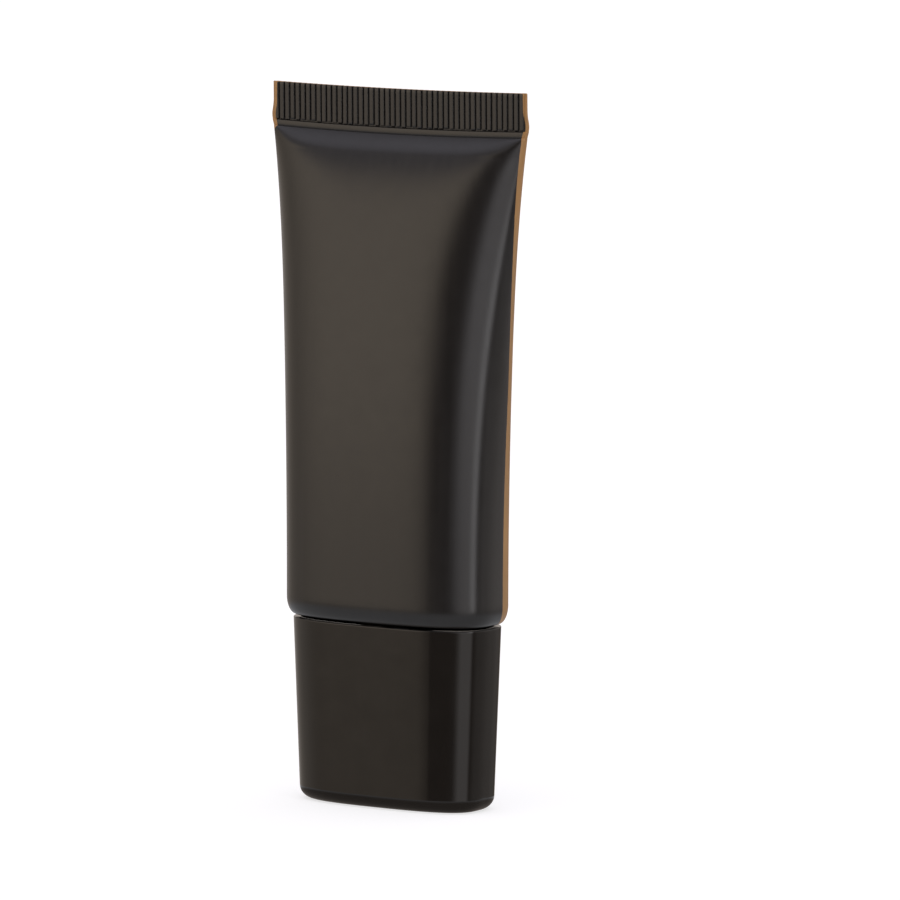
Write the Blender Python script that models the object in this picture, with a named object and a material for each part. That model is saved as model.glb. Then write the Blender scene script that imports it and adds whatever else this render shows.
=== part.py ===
"""A flat squeeze tube of sun lotion that stands on its oval screw cap.

Metres, +Z up, front towards -Y. The origin is the middle of the cap's flat end, on which the tube
stands, and Z is the axis of the tube and of its screw.
"""
import math

import bmesh
import bpy
from mathutils import Vector

MM = 0.001
DEGREE = math.pi / 180

# Fits shared by all pieces
FIT = 0.3 * MM  # gap between pieces that touch
ROOT = 0.4 * MM  # how far a rib or dog is rooted in the piece that carries it

# How finely the curved forms are divided
OVAL_POINTS = 56
ROUND_POINTS = 48
FILLET_STEPS = 4
BODY_STEPS = 15
CAVITY_STEPS = 10

# Oval outline that the cap, the shoulder and the sleeve share: 2 is an ellipse, more is squarer
OVAL_POWER = 2.89

# Cap shell
CAP_HEIGHT = 29.1 * MM
CAP_RIM_HALF_WIDTH = 17.73 * MM
CAP_RIM_HALF_DEPTH = 8.05 * MM
CAP_FOOT_SHARE = 0.934  # foot outline as a share of the rim outline
CAP_WALL = 1.1 * MM
CAP_FLOOR = 1.6 * MM
CAP_FOOT_FILLET = 2.1 * MM
CAP_RIM_FILLET = 0.3 * MM

# Sleeve, from the rounded lip at the shoulder to the heat-sealed crimp
SLEEVE_STEP = 1.0 * MM  # how far the sleeve stands out past the cap's rim
SLEEVE_LENGTH = 83.5 * MM
SLEEVE_WALL = 0.5 * MM
LIP_HEIGHT = 2.9 * MM
LIP_INSET = 1.3 * MM
LIP_CURL = 0.6 * MM  # width and height of the lip's rolled end
CREASE_INSET = 0.1 * MM  # how much narrower the body is just under the crimp
WIDEN_POWER = 2.15  # the sides spread slowly at first, then faster towards the crimp
THIN_POWER = 2.73  # the faces stay upright at the shoulder
THIN_ROUNDING = 0.53  # and close fast under the crimp
SHARPEN_POWER = 1.9  # the rounded sides turn into sharp folds on the way up
FLAT_POWER = 8.0  # takes the place of the oval's power across, for a flat face between the folds
FLATTEN_POWER = 10.3  # but only near the crimp
SAG_POWER = 2  # the film hangs more and more in the middle, the further it has to close
CAVITY_TOP_SHARE = 0.98  # how far up the body the inside of the sleeve is open

# Crimp
CRIMP_HEIGHT = 6.9 * MM
CRIMP_HALF_WIDTH = 23.55 * MM
CRIMP_HALF_THICKNESS = 0.5 * MM
CRIMP_SAG = 0.28 * MM  # how far the middle hangs below the ends at the very end
CREASE_SAG = 0.45 * MM  # and at the crease under the crimp
CRIMP_SET_BACK = 0.5 * MM
RIB_HEIGHT = 5.9 * MM
RIB_COUNT = 47
RIB_DEPTH = 0.24 * MM
RIB_MARGIN = 0.3 * MM  # plain width left at each end of the ribs
RIB_PROFILE_SHARES = ((-0.38, 0), (-0.17, 1), (0.17, 1), (0.38, 0))  # across a pitch, up the depth
EAR_REACH = 0.3 * MM  # film squeezed out at the sides of the ribbed band
EAR_HEIGHT_SHARE = 0.2  # place of the ears above the foot of the ribs
GROOVE_DEPTH = 0.16 * MM
GROOVE_WIDTH = 0.3 * MM

# Shoulder and neck, one moulding
SHOULDER_RECESS = 0.4 * MM  # shoulder's edge above the lip's lowest line
SHOULDER_DISH = 0.4 * MM
SHOULDER_THICKNESS = 1.2 * MM
SKIRT_HEIGHT = 3.4 * MM
SKIRT_WALL = 0.8 * MM
NECK_LENGTH = 15.5 * MM  # from the shoulder's edge to the tip
NECK_RADIUS = 4.0 * MM  # core under the thread
TIP_CHAMFER = 0.3 * MM
COLLAR_RADIUS = 5.72 * MM
COLLAR_HEIGHT = 2.8 * MM
DOG_REACH = 0.8 * MM
DOG_WIDTH = 1.4 * MM
DOG_HEIGHT = 1.8 * MM
DOG_ANGLES = (-30 * DEGREE, 150 * DEGREE)

# Orifice insert, pressed into the tip
INSERT_RADIUS = 2.9 * MM
INSERT_LENGTH = 8.0 * MM
OUTLET_RADIUS = 1.6 * MM
OUTLET_FLARE = 0.35 * MM

# Cap socket, which takes the neck
SOCKET_BORE_RADIUS = 5.0 * MM
SOCKET_WALL = 1.0 * MM
SOCKET_WEB = 1.2 * MM
SOCKET_CHAMFER = 0.3 * MM
FIN_WALL = 0.9 * MM
FIN_REACH = 1.9 * MM
FIN_DROP = 1.5 * MM  # how far the fins stop below the socket's mouth
FIN_ANGLES = (28 * DEGREE, 152 * DEGREE, 208 * DEGREE, 332 * DEGREE)

# Sealing disc
SEAL_THICKNESS = 1.2 * MM

# Heights on the axis, worked out from the sizes above
LIP_Z = CAP_HEIGHT + FIT
BODY_Z = LIP_Z + LIP_HEIGHT
TOP_Z = LIP_Z + SLEEVE_LENGTH
CREASE_Z = TOP_Z - CRIMP_HEIGHT
RIB_Z = TOP_Z - RIB_HEIGHT
SHOULDER_Z = LIP_Z + SHOULDER_RECESS
COLLAR_Z = SHOULDER_Z - COLLAR_HEIGHT
TIP_Z = SHOULDER_Z - NECK_LENGTH
SEAL_Z = TIP_Z - FIT - SEAL_THICKNESS
SOCKET_FLOOR_Z = SEAL_Z - FIT
SOCKET_MOUTH_Z = COLLAR_Z - FIT
SOCKET_FOOT_Z = CAP_FLOOR + FIT

# Outlines worked out from the sizes above
SHOULDER_HALF_WIDTH = CAP_RIM_HALF_WIDTH + SLEEVE_STEP
SHOULDER_HALF_DEPTH = CAP_RIM_HALF_DEPTH + SLEEVE_STEP
SOCKET_RADIUS = SOCKET_BORE_RADIUS + SOCKET_WALL
NECK_BORE_RADIUS = INSERT_RADIUS + FIT
CREASE_HALF_WIDTH = CRIMP_HALF_WIDTH - CREASE_INSET
EDGE_POWER = 3 * CRIMP_HALF_WIDTH / CRIMP_HALF_THICKNESS  # rounds an edge by half the film

SMOOTH_ANGLE = 35 * DEGREE


def clear_scene():
    """Removes whatever the file holds."""
    for item in list(bpy.data.objects):
        bpy.data.objects.remove(item, do_unlink=True)


def plastic(name, colour, roughness, specular=0.5):
    """A Principled plastic."""
    material = bpy.data.materials.new(name)
    material.use_nodes = True
    shader = material.node_tree.nodes["Principled BSDF"]
    shader.inputs["Base Color"].default_value = (*colour, 1)
    shader.inputs["Roughness"].default_value = roughness
    shader.inputs["Metallic"].default_value = 0
    shader.inputs["Specular IOR Level"].default_value = specular
    material.diffuse_color = (*colour, 1)
    return material


def add_frame(name):
    """An empty on the screw's axis that carries the pieces of one body."""
    frame = bpy.data.objects.new(name, None)
    bpy.context.collection.objects.link(frame)
    return frame


def add_piece(name, bm, material, height, frame):
    """Turns a closed bmesh into a smooth-shaded piece at a height on the axis."""
    bmesh.ops.recalc_face_normals(bm, faces=bm.faces)
    mesh = bpy.data.meshes.new(name)
    bm.to_mesh(mesh)
    bm.free()
    mesh.materials.append(material)
    mesh.shade_smooth()
    mesh.set_sharp_from_angle(angle=SMOOTH_ANGLE)
    piece = bpy.data.objects.new(name, mesh)
    bpy.context.collection.objects.link(piece)
    piece.location = (0, 0, height)
    piece.parent = frame
    return piece


def fuse(piece, name, bm):
    """Fuses closed lumps with a piece, in the piece's own frame."""
    bmesh.ops.recalc_face_normals(bm, faces=bm.faces)
    mesh = bpy.data.meshes.new(name)
    bm.to_mesh(mesh)
    bm.free()
    lumps = bpy.data.objects.new(name, mesh)
    bpy.context.collection.objects.link(lumps)
    lumps.parent = piece
    lumps.hide_render = True
    lumps.display_type = "WIRE"
    union = piece.modifiers.new(name, "BOOLEAN")
    union.operation = "UNION"
    union.solver = "EXACT"
    union.object = lumps


def oval(half_width, half_depth, height, power=OVAL_POWER, count=OVAL_POINTS):
    """Points round an oval at one height, starting at +X."""
    points = []
    for step in range(count):
        angle = 2 * math.pi * step / count
        across = math.copysign(abs(math.cos(angle)) ** (2 / power), math.cos(angle))
        along = math.copysign(abs(math.sin(angle)) ** (2 / power), math.sin(angle))
        points.append(Vector((half_width * across, half_depth * along, height)))
    return points


def circle(radius, height, count=ROUND_POINTS):
    """Points round a circle at one height."""
    return oval(radius, radius, height, power=2, count=count)


def add_loop(bm, points):
    return [bm.verts.new(point) for point in points]


def skin(bm, first, second):
    """Quads between two loops of equal count."""
    for step in range(len(first)):
        after = (step + 1) % len(first)
        bm.faces.new((first[step], first[after], second[after], second[step]))


def loft(bm, rings):
    """Quads through a row of rings; gives back the loops."""
    loops = [add_loop(bm, ring) for ring in rings]
    for lower, upper in zip(loops, loops[1:]):
        skin(bm, lower, upper)
    return loops


def solid_loft(rings):
    """A closed solid through a row of rings, with flat ends."""
    bm = bmesh.new()
    loops = loft(bm, rings)
    bm.faces.new(loops[0])
    bm.faces.new(loops[-1])
    return bm


def tube_loft(rings):
    """A closed solid with a hole right through: the last ring meets the first."""
    bm = bmesh.new()
    loops = loft(bm, rings)
    skin(bm, loops[-1], loops[0])
    return bm


def quarter(steps=FILLET_STEPS):
    """Sine and cosine along a quarter turn."""
    for step in range(steps + 1):
        angle = math.pi / 2 * step / steps
        yield math.sin(angle), math.cos(angle)


def add_block(bm, angle, inner, outer, width, low, high):
    """A radial block, from one radius to another, at an angle round the axis."""
    corners = []
    for height in (low, high):
        for reach, side in ((inner, -1), (outer, -1), (outer, 1), (inner, 1)):
            x = reach * math.cos(angle) - side * width / 2 * math.sin(angle)
            y = reach * math.sin(angle) + side * width / 2 * math.cos(angle)
            corners.append(bm.verts.new((x, y, height)))
    skin(bm, corners[:4], corners[4:])
    bm.faces.new(corners[:4])
    bm.faces.new(corners[4:])


def cap_outline(height, inset=0.0):
    """The cap's tapered oval at a height, drawn in by an inset."""
    share = CAP_FOOT_SHARE + (1 - CAP_FOOT_SHARE) * height / CAP_HEIGHT
    return oval(CAP_RIM_HALF_WIDTH * share - inset, CAP_RIM_HALF_DEPTH * share - inset, height)


def build_cap_shell(material, frame):
    """Deep oval cup: foot fillet, tapered side, rounded rim, inner wall and floor."""
    inner_fillet = max(CAP_FOOT_FILLET - CAP_WALL, CAP_RIM_FILLET)
    rings = []
    for sine, cosine in quarter():
        rings.append(cap_outline(CAP_FOOT_FILLET * (1 - cosine), CAP_FOOT_FILLET * (1 - sine)))
    for sine, cosine in quarter(2):
        height = CAP_HEIGHT - CAP_RIM_FILLET * (1 - sine)
        rings.append(cap_outline(height, CAP_RIM_FILLET * (1 - cosine)))
    rings.append(cap_outline(CAP_HEIGHT, CAP_WALL - CAP_RIM_FILLET / 2))
    rings.append(cap_outline(CAP_HEIGHT - CAP_RIM_FILLET / 2, CAP_WALL))
    for sine, cosine in quarter(2):
        height = CAP_FLOOR + inner_fillet * (1 - sine)
        rings.append(cap_outline(height, CAP_WALL + inner_fillet * (1 - cosine)))
    return add_piece("cap_shell", solid_loft(rings), material, 0, frame)


def build_cap_socket(material, frame):
    """Round liner on the cap's floor: a hollow foot, a web for the seal, the bore for the neck."""
    web_top = SOCKET_FLOOR_Z - SOCKET_FOOT_Z
    mouth = SOCKET_MOUTH_Z - SOCKET_FOOT_Z
    rings = [
        circle(SOCKET_BORE_RADIUS, web_top - SOCKET_WEB),
        circle(SOCKET_BORE_RADIUS, 0),
        circle(SOCKET_RADIUS, 0),
        circle(SOCKET_RADIUS, mouth - SOCKET_CHAMFER),
        circle(SOCKET_RADIUS - SOCKET_CHAMFER, mouth),
        circle(SOCKET_BORE_RADIUS + SOCKET_CHAMFER, mouth),
        circle(SOCKET_BORE_RADIUS, mouth - SOCKET_CHAMFER),
        circle(SOCKET_BORE_RADIUS, web_top),
    ]
    piece = add_piece("cap_socket", solid_loft(rings), material, SOCKET_FOOT_Z, frame)
    fins = bmesh.new()
    for angle in FIN_ANGLES:
        inner = SOCKET_RADIUS - ROOT
        outer = SOCKET_RADIUS + FIN_REACH
        add_block(fins, angle, inner, outer, FIN_WALL, ROOT, mouth - FIN_DROP)
    fuse(piece, "cap_socket_fins", fins)
    return piece


def build_sealing_disc(material, frame):
    """Soft disc on the socket's web, under the outlet."""
    radius = SOCKET_BORE_RADIUS - FIT
    rings = [circle(radius, 0), circle(radius, SEAL_THICKNESS)]
    return add_piece("sealing_disc", solid_loft(rings), material, SEAL_Z, frame)


def build_orifice_insert(material, frame):
    """Milky plug in the tip, with the flared round outlet."""
    rings = [
        circle(INSERT_RADIUS, 0),
        circle(INSERT_RADIUS, INSERT_LENGTH),
        circle(OUTLET_RADIUS, INSERT_LENGTH),
        circle(OUTLET_RADIUS, OUTLET_FLARE),
        circle(OUTLET_RADIUS + OUTLET_FLARE, 0),
    ]
    return add_piece("orifice_insert", tube_loft(rings), material, TIP_Z, frame)


def shoulder_ring(inset, height):
    """An oval ring inside the sleeve's outline at the shoulder."""
    return oval(SHOULDER_HALF_WIDTH - inset, SHOULDER_HALF_DEPTH - inset, height)


def build_shoulder_neck(material, frame):
    """Skirt inside the sleeve, dished shoulder in the lip's opening, collar, neck and bore."""
    skirt = SLEEVE_WALL + FIT
    opening = LIP_INSET + LIP_CURL + FIT
    skirt_top = BODY_Z + SKIRT_HEIGHT - SHOULDER_Z
    corner = BODY_Z - SHOULDER_Z
    corner_drop = LIP_HEIGHT - LIP_CURL + LIP_CURL / 2 - FIT
    inner_face = SHOULDER_DISH + SHOULDER_THICKNESS
    inner_corner = SKIRT_WALL + skirt
    rings = [shoulder_ring(skirt, skirt_top)]
    for sine, cosine in quarter():
        inset = skirt + (opening - skirt) * (1 - cosine)
        rings.append(shoulder_ring(inset, corner - corner_drop * sine))
    rings.append(shoulder_ring(opening, 0))
    neck_rings = [
        (COLLAR_RADIUS, SHOULDER_DISH),
        (COLLAR_RADIUS, -COLLAR_HEIGHT),
        (NECK_RADIUS, -COLLAR_HEIGHT),
        (NECK_RADIUS, TIP_CHAMFER - NECK_LENGTH),
        (NECK_RADIUS - TIP_CHAMFER, -NECK_LENGTH),
        (NECK_BORE_RADIUS, -NECK_LENGTH),
        (NECK_BORE_RADIUS, inner_face),
    ]
    for radius, height in neck_rings:
        rings.append(circle(radius, height, OVAL_POINTS))
    rings.append(shoulder_ring(opening + SKIRT_WALL, inner_face))
    rings.append(shoulder_ring(inner_corner, max(corner, inner_face + SKIRT_WALL)))
    rings.append(shoulder_ring(inner_corner, skirt_top))
    piece = add_piece("shoulder_neck", tube_loft(rings), material, SHOULDER_Z, frame)
    dogs = bmesh.new()
    for angle in DOG_ANGLES:
        inner = COLLAR_RADIUS - ROOT
        outer = COLLAR_RADIUS + DOG_REACH
        add_block(dogs, angle, inner, outer, DOG_WIDTH, SHOULDER_DISH - DOG_HEIGHT, SHOULDER_DISH + ROOT)
    fuse(piece, "collar_dogs", dogs)
    return piece


def sag_drop(share, sag):
    """How far a point of the sleeve hangs, by its share of the half width."""
    return sag * (1 - share * share)


def body_ring(rise, height, inset=0.0, film=CRIMP_HALF_THICKNESS):
    """One section of the body, at a share of the way from the shoulder to the crease."""
    spread = (CREASE_HALF_WIDTH - SHOULDER_HALF_WIDTH) * rise ** WIDEN_POWER
    half_width = SHOULDER_HALF_WIDTH + spread - inset
    bulge = SHOULDER_HALF_DEPTH * (1 - rise ** THIN_POWER) ** THIN_ROUNDING
    bulge = max(bulge - inset, 0)
    power_across = OVAL_POWER + (FLAT_POWER - OVAL_POWER) * rise ** FLATTEN_POWER
    power_deep = OVAL_POWER + (1 - OVAL_POWER) * rise ** SHARPEN_POWER
    lie = CRIMP_SET_BACK * rise ** 2
    points = []
    for step in range(OVAL_POINTS):
        angle = 2 * math.pi * step / OVAL_POINTS
        share = abs(math.cos(angle)) ** (2 / OVAL_POWER)
        depth = bulge * max(1 - share ** power_across, 0) ** (1 / power_deep)
        depth += film * rise ** 2 * math.sqrt(max(1 - share ** EDGE_POWER, 0))
        x = math.copysign(half_width * share, math.cos(angle))
        y = math.copysign(depth, math.sin(angle)) + lie
        z = height - sag_drop(share, CREASE_SAG * rise ** SAG_POWER)
        points.append(Vector((x, y, z)))
    return points


def crimp_sag(height):
    """The sag fades a little from the crease to the end of the crimp."""
    share = (height - CREASE_Z) / CRIMP_HEIGHT
    return CREASE_SAG + (CRIMP_SAG - CREASE_SAG) * share


def flat_ring(height, half_width, half_thickness):
    """One section of the crimp's plain ledge."""
    points = []
    for step in range(OVAL_POINTS):
        angle = 2 * math.pi * step / OVAL_POINTS
        share = abs(math.cos(angle)) ** (2 / OVAL_POWER)
        depth = half_thickness * math.sqrt(max(1 - share ** EDGE_POWER, 0))
        x = math.copysign(half_width * share, math.cos(angle))
        y = math.copysign(depth, math.sin(angle)) + CRIMP_SET_BACK
        points.append(Vector((x, y, height - sag_drop(share, crimp_sag(height)))))
    return points


def ribbed_ring(height, half_width):
    """One section of the ribbed band: the back from +X to -X, then the front."""
    pitch = 2 * (CRIMP_HALF_WIDTH - RIB_MARGIN) / RIB_COUNT
    stretch = half_width / CRIMP_HALF_WIDTH
    valley = CRIMP_HALF_THICKNESS - RIB_DEPTH
    back = []
    for rib in range(RIB_COUNT):
        centre = (RIB_COUNT - 1) / 2 * pitch - rib * pitch
        for across, rise in RIB_PROFILE_SHARES:
            back.append((stretch * (centre - across * pitch), valley + rise * RIB_DEPTH))
    outline = [(half_width, 0)] + back + [(-half_width, 0)]
    outline += [(x, -depth) for x, depth in reversed(back)]
    sag = crimp_sag(height)
    points = []
    for x, depth in outline:
        z = height - sag_drop(x / half_width, sag)
        points.append(Vector((x, depth + CRIMP_SET_BACK, z)))
    return points


def travels(loop):
    """How far round a loop each vertex lies: 0 to 1 along the back, 1 to 2 along the front."""
    half_width = max(vertex.co.x for vertex in loop)
    turn = min(range(len(loop)), key=lambda step: loop[step].co.x)
    result = []
    for step, vertex in enumerate(loop):
        share = (1 - vertex.co.x / half_width) / 2
        result.append(share if step <= turn else 2 - share)
    return result + [2]


def stitch(bm, lower, upper):
    """Triangles between two loops of unlike count."""
    low_travel = travels(lower)
    high_travel = travels(upper)
    low = 0
    high = 0
    while low < len(lower) or high < len(upper):
        foot = lower[low % len(lower)]
        head = upper[high % len(upper)]
        low_left = low < len(lower)
        high_left = high < len(upper)
        if low_left and (not high_left or low_travel[low + 1] <= high_travel[high + 1]):
            low += 1
            bm.faces.new((foot, lower[low % len(lower)], head))
        else:
            high += 1
            bm.faces.new((foot, upper[high % len(upper)], head))


def close_strip(bm, loop):
    """Closes a narrow loop with a strip from its back to its front; it starts at its +X end."""
    for step in range(len(loop) // 2):
        corners = dict.fromkeys((loop[step], loop[step + 1], loop[-step - 1], loop[-step]))
        bm.faces.new(tuple(corners))


def sleeve_inside():
    """Rings of the inner wall, from the closed top down to the rolled end of the lip."""
    body_height = CREASE_Z - BODY_Z
    rings = []
    for step in range(CAVITY_STEPS + 1):
        rise = CAVITY_TOP_SHARE * (1 - (step / CAVITY_STEPS) ** 1.5)
        rings.append(body_ring(rise, BODY_Z + rise * body_height, SLEEVE_WALL, film=0.0))
    roll = LIP_INSET + LIP_CURL - SLEEVE_WALL
    drop = LIP_HEIGHT - LIP_CURL
    for sine, cosine in list(quarter())[1:]:
        rings.append(body_ring(0, BODY_Z - drop * sine, SLEEVE_WALL + roll * (1 - cosine)))
    return rings


def sleeve_outside():
    """Rings of the outer wall, from the lip's lowest line up to the crimp's ledge."""
    body_height = CREASE_Z - BODY_Z
    groove_low = RIB_Z - GROOVE_WIDTH
    crease_end = CREASE_Z + GROOVE_WIDTH
    sunk = CRIMP_HALF_THICKNESS - GROOVE_DEPTH
    rings = []
    for sine, cosine in reversed(list(quarter())[1:]):
        rings.append(body_ring(0, BODY_Z - LIP_HEIGHT * sine, LIP_INSET * (1 - cosine)))
    for step in range(BODY_STEPS):
        rise = 1 - (1 - step / BODY_STEPS) ** 1.5
        rings.append(body_ring(rise, BODY_Z + rise * body_height))
    rings.append(flat_ring(CREASE_Z, CREASE_HALF_WIDTH, sunk))
    rings.append(flat_ring(crease_end, CREASE_HALF_WIDTH, CRIMP_HALF_THICKNESS))
    rings.append(flat_ring(groove_low, CRIMP_HALF_WIDTH, CRIMP_HALF_THICKNESS))
    rings.append(flat_ring(groove_low + GROOVE_WIDTH / 2, CRIMP_HALF_WIDTH, sunk))
    return rings


def build_sleeve(material, frame):
    """One film: rolled lip, oval body flattening upwards, and the straight, ribbed crimp."""
    bm = bmesh.new()
    loops = loft(bm, sleeve_inside() + sleeve_outside())
    close_strip(bm, loops[0])
    ear_z = RIB_Z + EAR_HEIGHT_SHARE * RIB_HEIGHT
    ribs = loft(bm, [
        ribbed_ring(RIB_Z, CRIMP_HALF_WIDTH),
        ribbed_ring(ear_z, CRIMP_HALF_WIDTH + EAR_REACH),
        ribbed_ring(TOP_Z, CRIMP_HALF_WIDTH),
    ])
    stitch(bm, loops[-1], ribs[0])
    close_strip(bm, ribs[-1])
    return add_piece("sleeve", bm, material, 0, frame)


def build():
    clear_scene()
    satin_black = plastic("sleeve_black_satin", (0.045, 0.042, 0.040), 0.42)
    gloss_black = plastic("cap_black_gloss", (0.022, 0.020, 0.018), 0.16)
    neck_black = plastic("neck_black_gloss", (0.018, 0.017, 0.016), 0.25)
    milky = plastic("insert_milky", (0.62, 0.66, 0.66), 0.38)
    foam = plastic("seal_foam", (0.70, 0.70, 0.68), 0.8, 0.3)
    tube = add_frame("tube_frame")
    cap = add_frame("cap_frame")
    build_sleeve(satin_black, tube)
    build_shoulder_neck(neck_black, tube)
    build_orifice_insert(milky, tube)
    build_cap_shell(gloss_black, cap)
    build_cap_socket(gloss_black, cap)
    build_sealing_disc(foam, cap)


build()
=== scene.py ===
"""Looks for a flat squeeze tube of sun lotion that stands on its oval screw cap.

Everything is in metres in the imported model's frame: origin in the middle of the cap's flat end, +Z up
along the tube, front towards -Y. Each CAD node is replaced by a finer mesh of the same form and size,
which carries what the solids leave out: the threads, the fine ribs of the crimp and rounded edges.
"""
import math

import bpy
import numpy as np
from mathutils import Matrix, Vector


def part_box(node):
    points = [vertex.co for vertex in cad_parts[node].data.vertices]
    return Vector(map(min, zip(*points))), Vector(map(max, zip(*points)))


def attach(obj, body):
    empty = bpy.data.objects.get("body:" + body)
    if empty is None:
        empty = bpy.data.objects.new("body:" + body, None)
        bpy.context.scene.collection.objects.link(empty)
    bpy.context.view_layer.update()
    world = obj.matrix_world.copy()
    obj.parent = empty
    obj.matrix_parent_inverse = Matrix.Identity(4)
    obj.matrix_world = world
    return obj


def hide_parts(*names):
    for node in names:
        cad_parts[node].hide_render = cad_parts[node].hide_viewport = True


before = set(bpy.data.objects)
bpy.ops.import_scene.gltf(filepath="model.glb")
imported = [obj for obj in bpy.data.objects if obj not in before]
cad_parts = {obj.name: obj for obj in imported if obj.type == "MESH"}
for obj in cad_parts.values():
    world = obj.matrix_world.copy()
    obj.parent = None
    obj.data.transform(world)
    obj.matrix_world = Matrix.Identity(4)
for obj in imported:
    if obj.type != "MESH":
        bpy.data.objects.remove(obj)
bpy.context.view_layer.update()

MM = 0.001
SEED = 7

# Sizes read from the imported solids
_, CAP_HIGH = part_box("cap_shell")
SLEEVE_LOW, SLEEVE_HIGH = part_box("sleeve")
HEAD_LOW, HEAD_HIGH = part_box("shoulder_neck")
INSERT_LOW, INSERT_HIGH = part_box("orifice_insert")
SOCKET_LOW, SOCKET_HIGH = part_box("cap_socket")
SEAL_LOW, SEAL_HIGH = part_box("sealing_disc")

# Fits and resolution
FIT = 0.3 * MM
ROUND_POINTS = 192
OVAL_POINTS = 320
EVEN_SAMPLES = 40001
FILLET_STEPS = 8
FINE_STEPS = 4  # rings round a small edge
BODY_STEPS = 150
CAVITY_STEPS = 40
CROWDING = 1.5  # how much the body's rings crowd where it closes
LIP_STEPS = 14
FLARE_STEPS = 6
NECK_STEPS = 150
SOCKET_STEPS = 140
ROUNDING_SHARE = 0.3  # where a chamfer's middle point lies

# Oval that the cap, the shoulder and the sleeve share
OVAL_POWER = 2.89

# Cap shell
CAP_SET_DOWN = 0.15 * MM  # how much the rim is kept down to leave a clear gap under the sleeve
CAP_HEIGHT = CAP_HIGH.z - CAP_SET_DOWN
CAP_RIM_HALF_WIDTH = CAP_HIGH.x
CAP_RIM_HALF_DEPTH = CAP_HIGH.y
CAP_FOOT_SHARE = 0.934
CAP_WALL = 1.1 * MM
CAP_FLOOR = 1.6 * MM
CAP_FOOT_FILLET = 2.1 * MM
CAP_RIM_FILLET = 0.11 * MM
CAP_RIM_INNER_FILLET = CAP_RIM_FILLET * 0.7
CAP_FOOT_STEPS = 12
CAP_RIM_STEPS = 6
# Heights of the wall's rings; the close ones at its ends keep the fillets' shading off it
CAP_WALL_SHARES = (0.004, *np.linspace(0, 1, 14)[1:-1], 0.997)

# Sleeve
LIP_Z = SLEEVE_LOW.z
TOP_Z = SLEEVE_HIGH.z
SLEEVE_STEP = 1.0 * MM
SLEEVE_WALL = 0.5 * MM
LIP_HEIGHT = 2.9 * MM
LIP_INSET = 1.3 * MM
LIP_CURL = 0.6 * MM
CREASE_INSET = 0.1 * MM
WIDEN_POWER = 2.15
THIN_POWER = 2.73
THIN_ROUNDING = 0.53
SHARPEN_POWER = 1.9
FLAT_POWER = 8.0
FLATTEN_POWER = 10.3
HIP_SLOPE = 0.75  # least slope of the faces down to the body's edges, right up to the crease
HIP_LEAST_BULGE = 0.2 * MM  # below it that slope gives way
SAG_POWER = 2
CAVITY_TOP_SHARE = 0.98
LIP_ARC = (0.15, 0.95)  # where the rolled lip's round starts and ends, in half turns
LIP_ARC_STEPS = 6
CRIMP_HEIGHT = 6.9 * MM
CRIMP_HALF_THICKNESS = 0.5 * MM
CRIMP_SAG = 0.28 * MM
CREASE_SAG = 0.45 * MM
CRIMP_SET_BACK = 0.5 * MM
EAR_REACH = 0.3 * MM
EAR_SPREAD = 1.3 * MM
EAR_HEIGHT_SHARE = 0.12
CRIMP_HALF_WIDTH = SLEEVE_HIGH.x - EAR_REACH
RIB_HEIGHT = 5.9 * MM
RIB_COUNT = 47
RIB_DEPTH = 0.28 * MM
RIB_MARGIN = 0.3 * MM
RIB_SHIFT_SHARE = 0.02  # how unevenly the ribs lie, as a share of their pitch
RIB_WIDTH_SHARES = (0.72, 0.80)
RIB_DEPTH_SHARES = (0.9, 1.0)
RIB_FEET = (0.0, 0.15)  # how far above the groove they begin, in millimetres
RIB_RISE = 0.1 * MM  # height over which they reach their depth
RIB_END_SHARES = (0.35, 0.8)  # rounding of the band's two ends
RIB_END_INSET = 0.06 * MM
RIB_LEVELS = ((0, 0.2, 12), (0.25, 0.97, 14))  # shares of their height at which they have rings
RIB_PROFILE = (  # half a rib, across and up
    (-1, 0), (-0.915, 0.80), (-0.89, 0.872), (-0.848, 0.931), (-0.79, 0.962), (-0.5, 0.99), (0, 1)
)
GROOVE_DEPTH = 0.16 * MM
GROOVE_WIDTH = 0.18 * MM
GROOVE_EDGE_SHARE = 1.6  # where the ledge turns down into it, in half widths
CREASE_DEPTH = 0.05 * MM
LEDGE_LEAN = 0.07 * MM
CRIMP_LEAN = 0.1 * MM  # how far its cut edge leans forward
CUT_INSET = 0.04 * MM
CUT_FADE = 0.75  # share of the ribs' depth that is left at the cut
CUT_BARE = 0.12  # how bare the cut is, in millimetres
CLOSE_SHARES = (0.963, 0.978)  # shares of the body over which its faces turn straight to the crease
CLOSE_CHORDS = 7
BODY_Z = LIP_Z + LIP_HEIGHT
CREASE_Z = TOP_Z - CRIMP_HEIGHT
RIB_Z = TOP_Z - RIB_HEIGHT
CREASE_HALF_WIDTH = CRIMP_HALF_WIDTH - CREASE_INSET
SHOULDER_HALF_WIDTH = CAP_RIM_HALF_WIDTH + SLEEVE_STEP
SHOULDER_HALF_DEPTH = CAP_RIM_HALF_DEPTH + SLEEVE_STEP
EDGE_POWER = 3 * CRIMP_HALF_WIDTH / CRIMP_HALF_THICKNESS

# Bare strip of the sleeve: the print stops short of the side seam and of the crimp's cut ends
STRIP_WIDTH = 4.0 * MM
STRIP_LOW = 1.5 * MM  # where the print ends, round the edge, low on the tube
STRIP_HIGH = -0.95 * MM  # and high on the tube
STRIP_SHIFT_Z = (62 * MM, 102 * MM)  # heights between which it drifts
BARE_ENDS = (0.9 * MM, 0.5 * MM)  # bare film at the -X and +X ends of the crimp
BARE_CORNER = 1.1 * MM  # how far the bare film runs down from the crease at the -X end
BARE_FAR = -3.0  # millimetres outside every bare zone

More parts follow.
